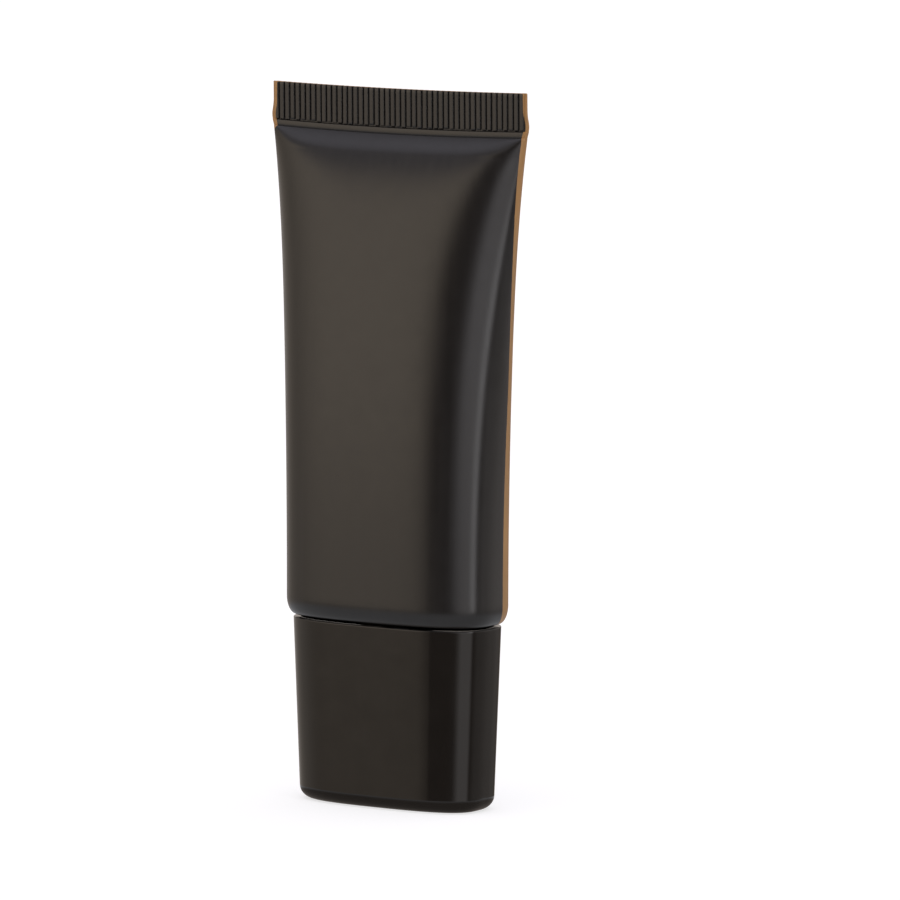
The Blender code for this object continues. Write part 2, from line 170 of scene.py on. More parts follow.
# Head: shoulder, collar and neck
SHOULDER_Z = LIP_Z + 0.4 * MM
SHOULDER_DISH = 0.4 * MM
SHOULDER_THICKNESS = 1.2 * MM
SKIRT_WALL = 0.8 * MM
NECK_RADIUS = 4.0 * MM
TIP_CHAMFER = 0.3 * MM
COLLAR_RADIUS = 5.72 * MM
COLLAR_HEIGHT = 2.8 * MM
COLLAR_Z = SHOULDER_Z - COLLAR_HEIGHT
DOG_REACH = 0.8 * MM
DOG_WIDTH = 1.4 * MM
DOG_HEIGHT = 1.8 * MM
DOG_ANGLES = (-30, 150)
TIP_Z = HEAD_LOW.z
SHOULDER_CHAMFER = (0.12 * MM, 0.1 * MM)  # across and up
COLLAR_TOP_FILLET = 0.3 * MM
COLLAR_FOOT_FILLET = 0.25 * MM
NECK_ROOT_FILLET = 0.25 * MM
NECK_ROOT_GAP = 0.3 * MM
COLLAR_JOIN = 0.35 * MM
BORE_TIP_CHAMFER = 0.1 * MM
BORE_TOP_CHAMFER = 0.2 * MM
DISH_STEPS = 11
DOG_ROOT = 0.5 * MM
DOG_EDGE = 0.2 * MM

# Screw thread, right-handed, single start
LEAD = 3.75 * MM
NECK_CREST = 0.65 * MM
THREAD_WIDTH = 1.5 * MM
THREAD_START = 3.4 * MM  # plain length at the tip
THREAD_END = 0.6 * MM  # plain length under the collar
THREAD_PHASE = 0.35 * MM
SOCKET_CREST = 0.6 * MM
THREAD_SIDE_SHARES = (0.14, 0.5)  # where its side begins and ends, as shares of its width
THREAD_FADE = 0.9 * MM  # height over which it runs out at either end

# Insert, socket and seal
OUTLET_RADIUS = 1.6 * MM
OUTLET_FLARE = 0.35 * MM
OUTLET_SHARES = (0.75, 0.5, 0.25)  # heights at which its wall has rings
INSERT_EDGE = 0.15 * MM
SOCKET_BORE_RADIUS = 5.0 * MM
SOCKET_RADIUS = 6.0 * MM
SOCKET_WEB = 1.2 * MM
SOCKET_CHAMFER = 0.3 * MM
FIN_WALL = 0.9 * MM
FIN_REACH = 1.9 * MM
FIN_DROP = 1.5 * MM
FIN_ROOT = 0.3 * MM
FIN_EDGE = 0.15 * MM
FIN_ANGLES = (28, 152, 208, 332)
SOCKET_THREAD_TOP_SHARE = 1.2  # where the threaded wall begins, in chamfers below the mouth
SOCKET_THREAD_LIFT = 3.6 * MM  # where it starts above the seal
SOCKET_THREAD_DROP = 0.4 * MM  # and ends below the mouth
SEAL_EDGE = 0.15 * MM
SEAL_CLEAR = 0.2 * MM
SEAL_CENTRE = 0.3 * MM
SEAL_STEPS = 24
DENT_DEPTH = 0.14 * MM  # of the ring that the tip presses into the seal
DENT_RADIUS = 3.45 * MM
DENT_WIDTH = 0.45 * MM

# Camera that took the photograph
CAMERA_AZIMUTH = 33.0
CAMERA_ELEVATION = 6.661
CAMERA_DISTANCE = 1.3605
CAMERA_ROLL = 0.14
CAMERA_LENS = 347.4
CAMERA_SENSOR = 36.0
CAMERA_CLIP = (0.01, 100.0)
LOOK_AT = Vector((0, 0, 58 * MM))
AIM_RIGHT = 8.25 * MM
AIM_UP = -2.04 * MM


def signed_power(value, power):
    return np.sign(value) * np.abs(value) ** power


def even_angles(count):
    """Angles that divide the shoulder's oval evenly, so that quads stay regular."""
    fine = np.linspace(0, 2 * math.pi, EVEN_SAMPLES)
    x = SHOULDER_HALF_WIDTH * signed_power(np.cos(fine), 2 / OVAL_POWER)
    y = SHOULDER_HALF_DEPTH * signed_power(np.sin(fine), 2 / OVAL_POWER)
    run = np.concatenate([[0], np.cumsum(np.hypot(np.diff(x), np.diff(y)))])
    return np.interp(np.arange(count) / count * run[-1], run, fine)


OVAL_ANGLES = even_angles(OVAL_POINTS)
ROUND_ANGLES = np.arange(ROUND_POINTS) / ROUND_POINTS * 2 * math.pi


def ring_of(x, y, z):
    return np.stack([x, y, np.zeros_like(x) + z], axis=1)


def oval(half_width, half_depth, height):
    x = half_width * signed_power(np.cos(OVAL_ANGLES), 2 / OVAL_POWER)
    y = half_depth * signed_power(np.sin(OVAL_ANGLES), 2 / OVAL_POWER)
    return ring_of(x, y, height)


def circle(radius, height):
    return ring_of(radius * np.cos(ROUND_ANGLES), radius * np.sin(ROUND_ANGLES), height)


def quarter(steps=FILLET_STEPS):
    for step in range(steps + 1):
        angle = math.pi / 2 * step / steps
        yield math.sin(angle), math.cos(angle)


def smooth(value, low, high):
    share = np.clip((value - low) / (high - low), 0, 1)
    return share * share * (3 - 2 * share)


def between(first, second, share):
    return first + (second - first) * share


class Shell:
    """Vertices, faces and one value at each vertex, gathered loop by loop.

    On the sleeve the value says how far inside the bare film the vertex lies.
    """

    def __init__(self):
        self.points = []
        self.bare = []
        self.faces = []
        self.count = 0

    def add(self, ring, bare=None):
        first = self.count
        self.points.append(ring)
        self.bare.append(np.full(len(ring), BARE_FAR) if bare is None else bare)
        self.count += len(ring)
        return list(range(first, self.count))

    def skin(self, lower, upper):
        total = len(lower)
        for step in range(total):
            after = (step + 1) % total
            self.faces.append((lower[step], lower[after], upper[after], upper[step]))

    def loft(self, rings, bare=None):
        loops = [self.add(ring, None if bare is None else bare[n]) for n, ring in enumerate(rings)]
        for lower, upper in zip(loops, loops[1:]):
            self.skin(lower, upper)
        return loops

    def close(self, loop, upwards):
        self.faces.append(tuple(loop) if upwards else tuple(reversed(loop)))

    def close_strip(self, loop, upwards):
        """Closes a narrow loop with a strip from its back to its front; it starts at its +X end.

        Each end is a fan round its tip, which may lie in line with its neighbours.
        """
        half = len(loop) // 2
        strip = []
        for tip, after, second, *_, before, last in (loop, loop[half:] + loop[:half]):
            strip += [(tip, after, second), (tip, second, before), (tip, before, last)]
        for step in range(2, half - 2):
            strip.append((loop[step], loop[step + 1], loop[-step - 1], loop[-step]))
        self.faces += strip if upwards else [face[::-1] for face in strip]

    def turn_over(self):
        self.faces = [tuple(reversed(face)) for face in self.faces]

    def mesh(self, name, attribute_name):
        mesh = bpy.data.meshes.new(name)
        mesh.from_pydata(np.concatenate(self.points).tolist(), [], self.faces)
        attribute = mesh.attributes.new(attribute_name, "FLOAT", "POINT")
        attribute.data.foreach_set("value", np.concatenate(self.bare).astype(np.float32))
        mesh.update()
        return mesh

    def piece(self, name, material, body, nodes, sharp=35.0):
        mesh = self.mesh(name, "bare")
        mesh.materials.append(material)
        mesh.shade_smooth()
        mesh.set_sharp_from_angle(angle=math.radians(sharp))
        made = bpy.data.objects.new(name, mesh)
        bpy.context.scene.collection.objects.link(made)
        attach(made, body)
        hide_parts(*nodes)
        return made


def sag_drop(share, sag):
    return sag * (1 - share * share)


def body_ring(rise, height, inset=0.0, film=CRIMP_HALF_THICKNESS):
    """One section of the sleeve's body, at a share of the way from the shoulder to the crease."""
    spread = (CREASE_HALF_WIDTH - SHOULDER_HALF_WIDTH) * rise ** WIDEN_POWER
    half_width = SHOULDER_HALF_WIDTH + spread - inset
    curved = np.minimum(rise, np.linspace(*CLOSE_SHARES, CLOSE_CHORDS))
    bulge = SHOULDER_HALF_DEPTH * (1 - curved ** THIN_POWER) ** THIN_ROUNDING
    bulge = max(float(np.mean(bulge * (1 - rise) / (1 - curved))) - inset, 0)
    power_across = OVAL_POWER + (FLAT_POWER - OVAL_POWER) * rise ** FLATTEN_POWER
    power_across = max(power_across, HIP_SLOPE * half_width / max(bulge, HIP_LEAST_BULGE))
    power_deep = OVAL_POWER + (1 - OVAL_POWER) * rise ** SHARPEN_POWER
    cosine, sine = np.cos(OVAL_ANGLES), np.sin(OVAL_ANGLES)
    share = np.abs(cosine) ** (2 / OVAL_POWER)
    depth = bulge * np.maximum(1 - share ** power_across, 0) ** (1 / power_deep)
    depth += film * rise ** 2 * np.sqrt(np.maximum(1 - share ** EDGE_POWER, 0))
    y = np.sign(sine) * depth + CRIMP_SET_BACK * rise ** 2
    z = height - sag_drop(share, CREASE_SAG * rise ** SAG_POWER)
    return ring_of(np.sign(cosine) * half_width * share, y, z)


def crimp_sag(height):
    return CREASE_SAG + (CRIMP_SAG - CREASE_SAG) * (height - CREASE_Z) / CRIMP_HEIGHT


def flat_ring(height, half_width, half_thickness):
    """One section of the plain ledge between the crease and the ribs."""
    cosine, sine = np.cos(OVAL_ANGLES), np.sin(OVAL_ANGLES)
    share = np.abs(cosine) ** (2 / OVAL_POWER)
    depth = half_thickness * np.sqrt(np.maximum(1 - share ** EDGE_POWER, 0))
    z = height - sag_drop(share, crimp_sag(height))
    return ring_of(np.sign(cosine) * half_width * share, np.sign(sine) * depth + CRIMP_SET_BACK, z)


def girth(ring):
    """Signed run round a ring from its +X edge: positive over the back, negative over the front."""
    steps = np.linalg.norm(np.diff(np.vstack([ring, ring[:1]]), axis=0), axis=1)
    run = np.concatenate([[0], np.cumsum(steps)])
    total = run[-1]
    run = run[:-1]
    return np.where(run > total / 2, run - total, run)


def strip_bare(ring, height):
    """How far inside the bare side strip each point lies, in millimetres; negative outside it."""
    start = STRIP_LOW + (STRIP_HIGH - STRIP_LOW) * float(smooth(height, *STRIP_SHIFT_Z))
    centre = start + STRIP_WIDTH / 2
    return np.maximum((STRIP_WIDTH / 2 - np.abs(girth(ring) - centre)) / MM, BARE_FAR)


def end_bare(ring):
    """The same for the bare film at the crimp's two ends."""
    width = np.where(ring[:, 0] < 0, *BARE_ENDS)
    edge = np.max(np.abs(ring[:, 0])) - width
    return np.maximum((np.abs(ring[:, 0]) - edge) / MM, BARE_FAR)


def corner_bare(ring, height):
    """And for the bare corner that runs out below the crimp's -X end."""
    width = BARE_ENDS[0] * (1 - (CREASE_Z - height) / BARE_CORNER)
    inside = np.where(ring[:, 0] < 0, width - np.max(np.abs(ring[:, 0])) + np.abs(ring[:, 0]), -MM)
    return np.maximum(inside / MM, BARE_FAR)


def ear(height):
    """Film squeezed out at the sides of the ribs."""
    middle = RIB_Z + EAR_HEIGHT_SHARE * RIB_HEIGHT
    return EAR_REACH * math.exp(-((height - middle) / EAR_SPREAD) ** 2)


def rib_table():
    """Places, widths and depths of the ribs, a little uneven as sealing jaws leave them."""
    chance = np.random.default_rng(SEED)
    pitch = 2 * (CRIMP_HALF_WIDTH - RIB_MARGIN) / RIB_COUNT
    centres = ((RIB_COUNT - 1) / 2 - np.arange(RIB_COUNT)) * pitch
    centres = centres + chance.uniform(-RIB_SHIFT_SHARE, RIB_SHIFT_SHARE, RIB_COUNT) * pitch
    widths = pitch * chance.uniform(*RIB_WIDTH_SHARES, RIB_COUNT)
    depths = RIB_DEPTH * chance.uniform(*RIB_DEPTH_SHARES, RIB_COUNT)
    feet = chance.uniform(*RIB_FEET, RIB_COUNT) * MM
    return centres, widths, depths, feet


RIBS = rib_table()


def ribbed_ring(height, half_width, fade=1.0):
    """One section of the ribbed band: the back from +X to -X, then the front."""
    centres, widths, depths, feet = RIBS
    half = np.array(RIB_PROFILE)
    across = np.concatenate([half[:, 0], -half[-2::-1, 0]]) / 2
    profile = np.concatenate([half[:, 1], half[-2::-1, 1]])
    rise = smooth(height - RIB_Z - feet, 0.0, RIB_RISE) * fade
    x = (centres[:, None] - across * widths[:, None]).ravel()
    up = (depths[:, None] * profile * rise[:, None]).ravel()
    valley = CRIMP_HALF_THICKNESS - RIB_DEPTH
    forward = CRIMP_LEAN * (height - RIB_Z) / RIB_HEIGHT
    ends = np.array(RIB_END_SHARES) * valley
    reach = half_width - np.array([0.0, RIB_END_INSET])
    back_x = np.concatenate([reach, x, -reach[::-1]])
    back_y = np.concatenate([ends, valley + up, ends[::-1]])
    all_x = np.concatenate([[half_width], back_x, [-half_width], back_x[::-1]])
    all_y = np.concatenate([[0.0], back_y, [0.0], -back_y[::-1]])
    z = height - sag_drop(all_x / half_width, crimp_sag(height))
    return ring_of(all_x, all_y + CRIMP_SET_BACK - forward, z)


def travels(ring):
    """0 to 1 along the back, 1 to 2 along the front."""
    half_width = ring[:, 0].max()
    turn = int(np.argmin(ring[:, 0]))
    share = (1 - ring[:, 0] / half_width) / 2
    order = np.arange(len(ring))
    return list(np.where(order <= turn, share, 2 - share)) + [2.0]


def stitch(shell, lower, lower_ring, upper, upper_ring):
    """Triangles between two loops of unlike count."""
    low_travel, high_travel = travels(lower_ring), travels(upper_ring)
    low = high = 0
    while low < len(lower) or high < len(upper):
        foot, head = lower[low % len(lower)], upper[high % len(upper)]
        first = low < len(lower) and (
            high >= len(upper) or low_travel[low + 1] <= high_travel[high + 1]
        )
        if first:
            low += 1
            shell.faces.append((foot, lower[low % len(lower)], head))
        else:
            high += 1
            shell.faces.append((foot, upper[high % len(upper)], head))


def sleeve_rings():
    """Rings from the closed top of the inside, round the lip and up the outside to the ledge."""
    body_height = CREASE_Z - BODY_Z
    rings = []
    for step in range(CAVITY_STEPS + 1):
        rise = CAVITY_TOP_SHARE * (1 - (step / CAVITY_STEPS) ** CROWDING)
        rings.append(body_ring(rise, BODY_Z + rise * body_height, SLEEVE_WALL, film=0.0))
    roll = LIP_INSET + LIP_CURL - SLEEVE_WALL
    drop = LIP_HEIGHT - LIP_CURL
    for sine, cosine in list(quarter())[1:]:
        rings.append(body_ring(0.0, BODY_Z - drop * sine, SLEEVE_WALL + roll * (1 - cosine)))
    centre = LIP_INSET + LIP_CURL / 2
    for angle in np.linspace(*LIP_ARC, LIP_ARC_STEPS) * math.pi:
        inset = centre + LIP_CURL / 2 * math.cos(angle)
        height = LIP_Z + LIP_CURL / 2 * (1 - math.sin(angle))
        rings.append(body_ring(0.0, height, inset))
    inside = len(rings)
    for sine, cosine in list(reversed(list(quarter(LIP_STEPS))))[1:-1]:
        rings.append(body_ring(0.0, BODY_Z - LIP_HEIGHT * sine, LIP_INSET * (1 - cosine)))
    for step in range(BODY_STEPS):
        rise = 1 - (1 - step / BODY_STEPS) ** CROWDING
        rings.append(body_ring(rise, BODY_Z + rise * body_height))
    return rings, inside


def build_sleeve(material):
    """Rolled lip, oval body flattening upwards, ledge and ribbed crimp."""
    rings, inside = sleeve_rings()
    bare = [np.full(OVAL_POINTS, BARE_FAR) for _ in range(inside)]
    for ring in rings[inside:]:
        height = ring[0, 2]
        bare.append(np.maximum(strip_bare(ring, height), corner_bare(ring, height)))
    sunk = CRIMP_HALF_THICKNESS - LEDGE_LEAN - GROOVE_DEPTH
    groove = GROOVE_WIDTH / 2
    ledge = [
        (CREASE_Z, CREASE_HALF_WIDTH, CRIMP_HALF_THICKNESS - CREASE_DEPTH),
        (CREASE_Z + groove, CREASE_HALF_WIDTH, CRIMP_HALF_THICKNESS - CREASE_DEPTH / 3),
        (CREASE_Z + 2 * groove, CREASE_HALF_WIDTH, CRIMP_HALF_THICKNESS),
        (RIB_Z - GROOVE_EDGE_SHARE * groove, CRIMP_HALF_WIDTH, CRIMP_HALF_THICKNESS - LEDGE_LEAN),
        (RIB_Z - groove, CRIMP_HALF_WIDTH, CRIMP_HALF_THICKNESS - LEDGE_LEAN - GROOVE_DEPTH / 3),
        (RIB_Z - groove / 3, CRIMP_HALF_WIDTH, sunk),
    ]
    for height, half_width, half_thickness in ledge:
        ring = flat_ring(height, half_width + ear(height), half_thickness)
        rings.append(ring)
        bare.append(np.maximum(end_bare(ring), strip_bare(ring, height)))
    shell = Shell()
    loops = shell.loft(rings, bare)
    shell.close_strip(loops[0], upwards=False)
    heights = RIB_Z + RIB_HEIGHT * np.concatenate([np.linspace(*levels) for levels in RIB_LEVELS])
    band = [ribbed_ring(z, CRIMP_HALF_WIDTH + ear(z)) for z in heights]
    band.append(ribbed_ring(TOP_Z, CRIMP_HALF_WIDTH - CUT_INSET, fade=CUT_FADE))
    band_bare = [end_bare(ring) for ring in band]
    band_bare[-1] = np.full(len(band[-1]), CUT_BARE)
    ribs = shell.loft(band, band_bare)
    stitch(shell, loops[-1], rings[-1], ribs[0], band[0])
    shell.close_strip(ribs[-1], upwards=True)
    return shell.piece("tube_sleeve", material, "tube", ["sleeve"], sharp=30)


def cap_outline(height, inset=0.0):
    share = CAP_FOOT_SHARE + (1 - CAP_FOOT_SHARE) * height / CAP_HEIGHT
    return oval(CAP_RIM_HALF_WIDTH * share - inset, CAP_RIM_HALF_DEPTH * share - inset, height)


def build_cap_shell(material):
    """Deep oval cup with a filleted foot and a fine rounded rim."""
    inner_fillet = CAP_FOOT_FILLET - CAP_WALL
    rings = []
    top = CAP_HEIGHT - CAP_RIM_FILLET
    for sine, cosine in quarter(CAP_FOOT_STEPS):
        rings.append(cap_outline(CAP_FOOT_FILLET * (1 - cosine), CAP_FOOT_FILLET * (1 - sine)))
    for share in CAP_WALL_SHARES:
        rings.append(cap_outline(between(CAP_FOOT_FILLET, top, share)))
    for sine, cosine in quarter(CAP_RIM_STEPS):
        inset = CAP_RIM_FILLET * (1 - cosine)
        rings.append(cap_outline(CAP_HEIGHT - CAP_RIM_FILLET * (1 - sine), inset))
    for sine, cosine in quarter(CAP_RIM_STEPS - 1):
        inset = CAP_WALL - CAP_RIM_INNER_FILLET * (1 - sine)
        rings.append(cap_outline(CAP_HEIGHT - CAP_RIM_INNER_FILLET * (1 - cosine), inset))
    for share in np.linspace(0, 1, FILLET_STEPS + 2)[1:-1]:
        rings.append(cap_outline(between(top, CAP_FLOOR + inner_fillet, share), CAP_WALL))
    for sine, cosine in quarter(CAP_RIM_STEPS):
        inset = CAP_WALL + inner_fillet * (1 - cosine)
        rings.append(cap_outline(CAP_FLOOR + inner_fillet * (1 - sine), inset))
    shell = Shell()
    loops = shell.loft(rings)
    shell.close(loops[0], upwards=False)
    shell.close(loops[-1], upwards=True)
    return shell.piece("cap_outer", material, "cap", ["cap_shell"])


def thread_height(angles, height, low, high, phase):
    """0 to 1: how far the ridge stands at each angle of one ring, fading out at both ends."""
    turn = (height - phase) / LEAD - angles / (2 * math.pi)
    away = np.abs(turn - np.round(turn)) * LEAD
    top, foot = THREAD_SIDE_SHARES
    ridge = 1 - smooth(away, THREAD_WIDTH * top, THREAD_WIDTH * foot)
    place = phase + (np.round(turn) + angles / (2 * math.pi)) * LEAD
    fade = smooth(place, low, low + THREAD_FADE) * (1 - smooth(place, high - THREAD_FADE, high))
    return ridge * fade


def threaded(core, crest, low, high, start, end, phase, steps):
    """Rings of a threaded cylinder; a negative crest cuts inwards."""
    rings = []
    for height in np.linspace(low, high, steps):
        radius = core + crest * thread_height(ROUND_ANGLES, height, start, end, phase)
        rings.append(circle(radius, height))
    return rings


def head_ring(inset, height):
    return oval(SHOULDER_HALF_WIDTH - inset, SHOULDER_HALF_DEPTH - inset, height)


def resample(ring, angles):
    """The oval's points that lie at the given polar angles, so that it meets a round loop squarely."""
    polar = np.unwrap(np.arctan2(ring[:, 1], ring[:, 0]))
    closed = np.concatenate([polar, [polar[0] + 2 * math.pi]])
    wrapped = np.vstack([ring, ring[:1]])
    spots = (angles - polar[0]) % (2 * math.pi) + polar[0]
    return np.stack([np.interp(spots, closed, wrapped[:, axis]) for axis in range(3)], axis=1)


def block(shell, angle, inner, outer, width, low, high, edge):
    """A radial lump with its edges rounded: a dog or a fin."""
    angle = math.radians(angle)
    out = np.array([math.cos(angle), math.sin(angle), 0])
    side = np.array([-math.sin(angle), math.cos(angle), 0])
    up = np.array([0, 0, 1.0])
    rings = []
    part = edge * ROUNDING_SHARE
    for drop, height in ((edge, low), (part, low + part), (0, low + edge),
                         (0, high - edge), (part, high - part), (edge, high)):
        half = width / 2 - drop
        reach = outer - drop
        outline = [(inner, -half), (reach - edge, -half), (reach - part, -half + part),
                   (reach, -half + edge), (reach, half - edge), (reach - part, half - part),
                   (reach - edge, half), (inner, half)]
        rings.append(np.array([out * along + side * aside + up * height for along, aside in outline]))
    loops = shell.loft(rings)
    shell.close(loops[0], upwards=False)
    shell.close(loops[-1], upwards=True)


def build_head(material):
    """Skirt inside the sleeve, dished shoulder, collar with two dogs, threaded neck and bore."""
    skirt = SLEEVE_WALL + FIT
    opening = LIP_INSET + LIP_CURL + FIT
    corner_drop = LIP_HEIGHT - LIP_CURL / 2 - FIT
    inner_face = SHOULDER_Z + SHOULDER_DISH + SHOULDER_THICKNESS
    inner_corner = SKIRT_WALL + skirt
    bore = INSERT_HIGH.x + FIT
    rings = [head_ring(skirt, HEAD_HIGH.z)]
    for sine, cosine in quarter():
        inset = skirt + (opening - skirt) * (1 - cosine)
        rings.append(head_ring(inset, BODY_Z - corner_drop * sine))
    rings.append(head_ring(opening, SHOULDER_Z + SHOULDER_CHAMFER[1]))
    rings.append(head_ring(opening + SHOULDER_CHAMFER[0], SHOULDER_Z))
    rings = [resample(ring, ROUND_ANGLES) for ring in rings]
    rim = rings[-1]
    dish_z = SHOULDER_Z + SHOULDER_DISH
    collar_top = circle(COLLAR_RADIUS + COLLAR_JOIN, dish_z)
    for share in np.linspace(0, 1, DISH_STEPS + 1)[1:]:
        ring = between(rim, collar_top, share)
        ring[:, 2] = SHOULDER_Z + SHOULDER_DISH * math.sin(share * math.pi / 2)
        rings.append(ring)
    for sine, cosine in quarter(FINE_STEPS):
        radius = COLLAR_RADIUS + COLLAR_TOP_FILLET * (1 - sine)
        rings.append(circle(radius, dish_z - COLLAR_TOP_FILLET * (1 - cosine)))
    for sine, cosine in quarter(FINE_STEPS):
        radius = COLLAR_RADIUS - COLLAR_FOOT_FILLET * (1 - cosine)
        rings.append(circle(radius, COLLAR_Z + COLLAR_FOOT_FILLET * (1 - sine)))
    for sine, cosine in quarter(FINE_STEPS):
        radius = NECK_RADIUS + NECK_ROOT_FILLET * (1 - sine)
        rings.append(circle(radius, COLLAR_Z - NECK_ROOT_FILLET * (1 - cosine)))
    neck_top = COLLAR_Z - NECK_ROOT_GAP
    neck_foot = TIP_Z + TIP_CHAMFER
    rings += threaded(NECK_RADIUS, NECK_CREST, neck_top, neck_foot, TIP_Z + THREAD_START,
                      COLLAR_Z - THREAD_END, TIP_Z + THREAD_PHASE, NECK_STEPS)
    for sine, cosine in list(quarter(FINE_STEPS))[1:]:
        radius = NECK_RADIUS - TIP_CHAMFER * (1 - cosine)
        rings.append(circle(radius, neck_foot - TIP_CHAMFER * sine))
    rings.append(circle(bore + BORE_TIP_CHAMFER, TIP_Z))
    rings.append(circle(bore, TIP_Z + BORE_TIP_CHAMFER))
    rings.append(circle(bore, inner_face - BORE_TOP_CHAMFER))
    rings.append(circle(bore + BORE_TOP_CHAMFER, inner_face))
    inner = resample(head_ring(opening + SKIRT_WALL, inner_face), ROUND_ANGLES)
    for share in (0.5, 1.0):
        rings.append(between(circle(bore, inner_face), inner, share))
    rings.append(resample(head_ring(inner_corner, max(BODY_Z, inner_face + SKIRT_WALL)), ROUND_ANGLES))
    rings.append(resample(head_ring(inner_corner, HEAD_HIGH.z), ROUND_ANGLES))
    shell = Shell()
    loops = shell.loft(rings)
    shell.skin(loops[-1], loops[0])
    shell.turn_over()
    for angle in DOG_ANGLES:
        block(shell, angle, COLLAR_RADIUS - DOG_ROOT, COLLAR_RADIUS + DOG_REACH, DOG_WIDTH,
              dish_z - DOG_HEIGHT, dish_z + DOG_EDGE, DOG_EDGE)
    return shell.piece("tube_head", material, "tube", ["shoulder_neck"])


def build_insert(material):
    """Milky plug with the flared outlet and a small lip round it."""
    outer = INSERT_HIGH.x
    low, high = INSERT_LOW.z, INSERT_HIGH.z
    rings = [circle(outer, high), circle(OUTLET_RADIUS, high)]
    for share in OUTLET_SHARES:
        rings.append(circle(OUTLET_RADIUS, between(low + OUTLET_FLARE, high, share)))
    for sine, cosine in quarter(FLARE_STEPS):
        radius = OUTLET_RADIUS + OUTLET_FLARE * (1 - cosine)
        rings.append(circle(radius, low + OUTLET_FLARE * (1 - sine)))
    rings.append(circle(between(OUTLET_RADIUS + OUTLET_FLARE, outer, 0.5), low))
    for sine, cosine in quarter(FINE_STEPS - 1):
        rings.append(circle(outer - INSERT_EDGE * (1 - sine), low + INSERT_EDGE * (1 - cosine)))
    shell = Shell()
    loops = shell.loft(rings)
    shell.skin(loops[-1], loops[0])
    return shell.piece("nozzle_plug", material, "tube", ["orifice_insert"])


def build_socket(material):
    """Round liner: hollow foot, web, bore with the inner thread, four fins."""
    floor_z = SEAL_LOW.z - FIT
    foot, mouth = SOCKET_LOW.z, SOCKET_HIGH.z
    edge = SOCKET_CHAMFER
    rings = [circle(SOCKET_BORE_RADIUS, floor_z - SOCKET_WEB), circle(SOCKET_BORE_RADIUS, foot)]
    rings += [circle(SOCKET_RADIUS, foot), circle(SOCKET_RADIUS, mouth - edge)]
    for sine, cosine in list(quarter(FINE_STEPS + 1))[1:]:
        rings.append(circle(SOCKET_RADIUS - edge * (1 - cosine), mouth - edge * (1 - sine)))
    for sine, cosine in quarter(FINE_STEPS + 1):
        rings.append(circle(SOCKET_BORE_RADIUS + edge * (1 - sine), mouth - edge * (1 - cosine)))
    phase = TIP_Z + THREAD_PHASE + LEAD / 2
    rings += threaded(SOCKET_BORE_RADIUS, -SOCKET_CREST, mouth - SOCKET_THREAD_TOP_SHARE * edge,
                      SEAL_HIGH.z + SEAL_CLEAR, SEAL_HIGH.z + SOCKET_THREAD_LIFT,
                      mouth - SOCKET_THREAD_DROP, phase, SOCKET_STEPS)
    rings.append(circle(SOCKET_BORE_RADIUS, floor_z))
    shell = Shell()
    loops = shell.loft(rings)
    shell.close(loops[0], upwards=False)
    shell.close(loops[-1], upwards=True)
    for angle in FIN_ANGLES:
        block(shell, angle, SOCKET_RADIUS - FIN_ROOT, SOCKET_RADIUS + FIN_REACH, FIN_WALL, foot,
              mouth - FIN_DROP, FIN_EDGE)
    return shell.piece("cap_liner", material, "cap", ["cap_socket"])


def build_seal(material):
    """Soft disc with the ring that the tip has pressed into it."""
    outer, low, high = SEAL_HIGH.x, SEAL_LOW.z, SEAL_HIGH.z
    rings = []
    for sine, cosine in quarter(FINE_STEPS):
        rings.append(circle(outer - SEAL_EDGE * (1 - sine), low + SEAL_EDGE * (1 - cosine)))
    for sine, cosine in quarter(FINE_STEPS):
        rings.append(circle(outer - SEAL_EDGE * (1 - cosine), high - SEAL_EDGE * (1 - sine)))
    for radius in np.linspace(outer - SEAL_CLEAR, SEAL_CENTRE, SEAL_STEPS):
        dent = DENT_DEPTH * math.exp(-((radius - DENT_RADIUS) / DENT_WIDTH) ** 2)
        rings.append(circle(radius, high - dent))
    shell = Shell()
    loops = shell.loft(rings)
    shell.close(loops[0], upwards=False)
    shell.close(loops[-1], upwards=True)
    return shell.piece("seal_disc", material, "seal", ["sealing_disc"])


# Colours of the pieces, and what varies them
PRINT_BLACK = (0.0105, 0.0095, 0.0088)
FILM_TAN = (0.3675, 0.199, 0.071)
MOULDED_BLACK = (0.0105, 0.0095, 0.0085)
CAP_BLACK = (0.010, 0.0085, 0.007)
PLUG_MILK = (0.60, 0.645, 0.65)
FOAM_WHITE = (0.68, 0.675, 0.65)
RAGGED = 0.06  # how far the print's edge wanders, in millimetres
FILM_ROUGHER = 0.15  # how much rougher the bare film is than the print
NOISE_RANGE = (0.3, 0.7)


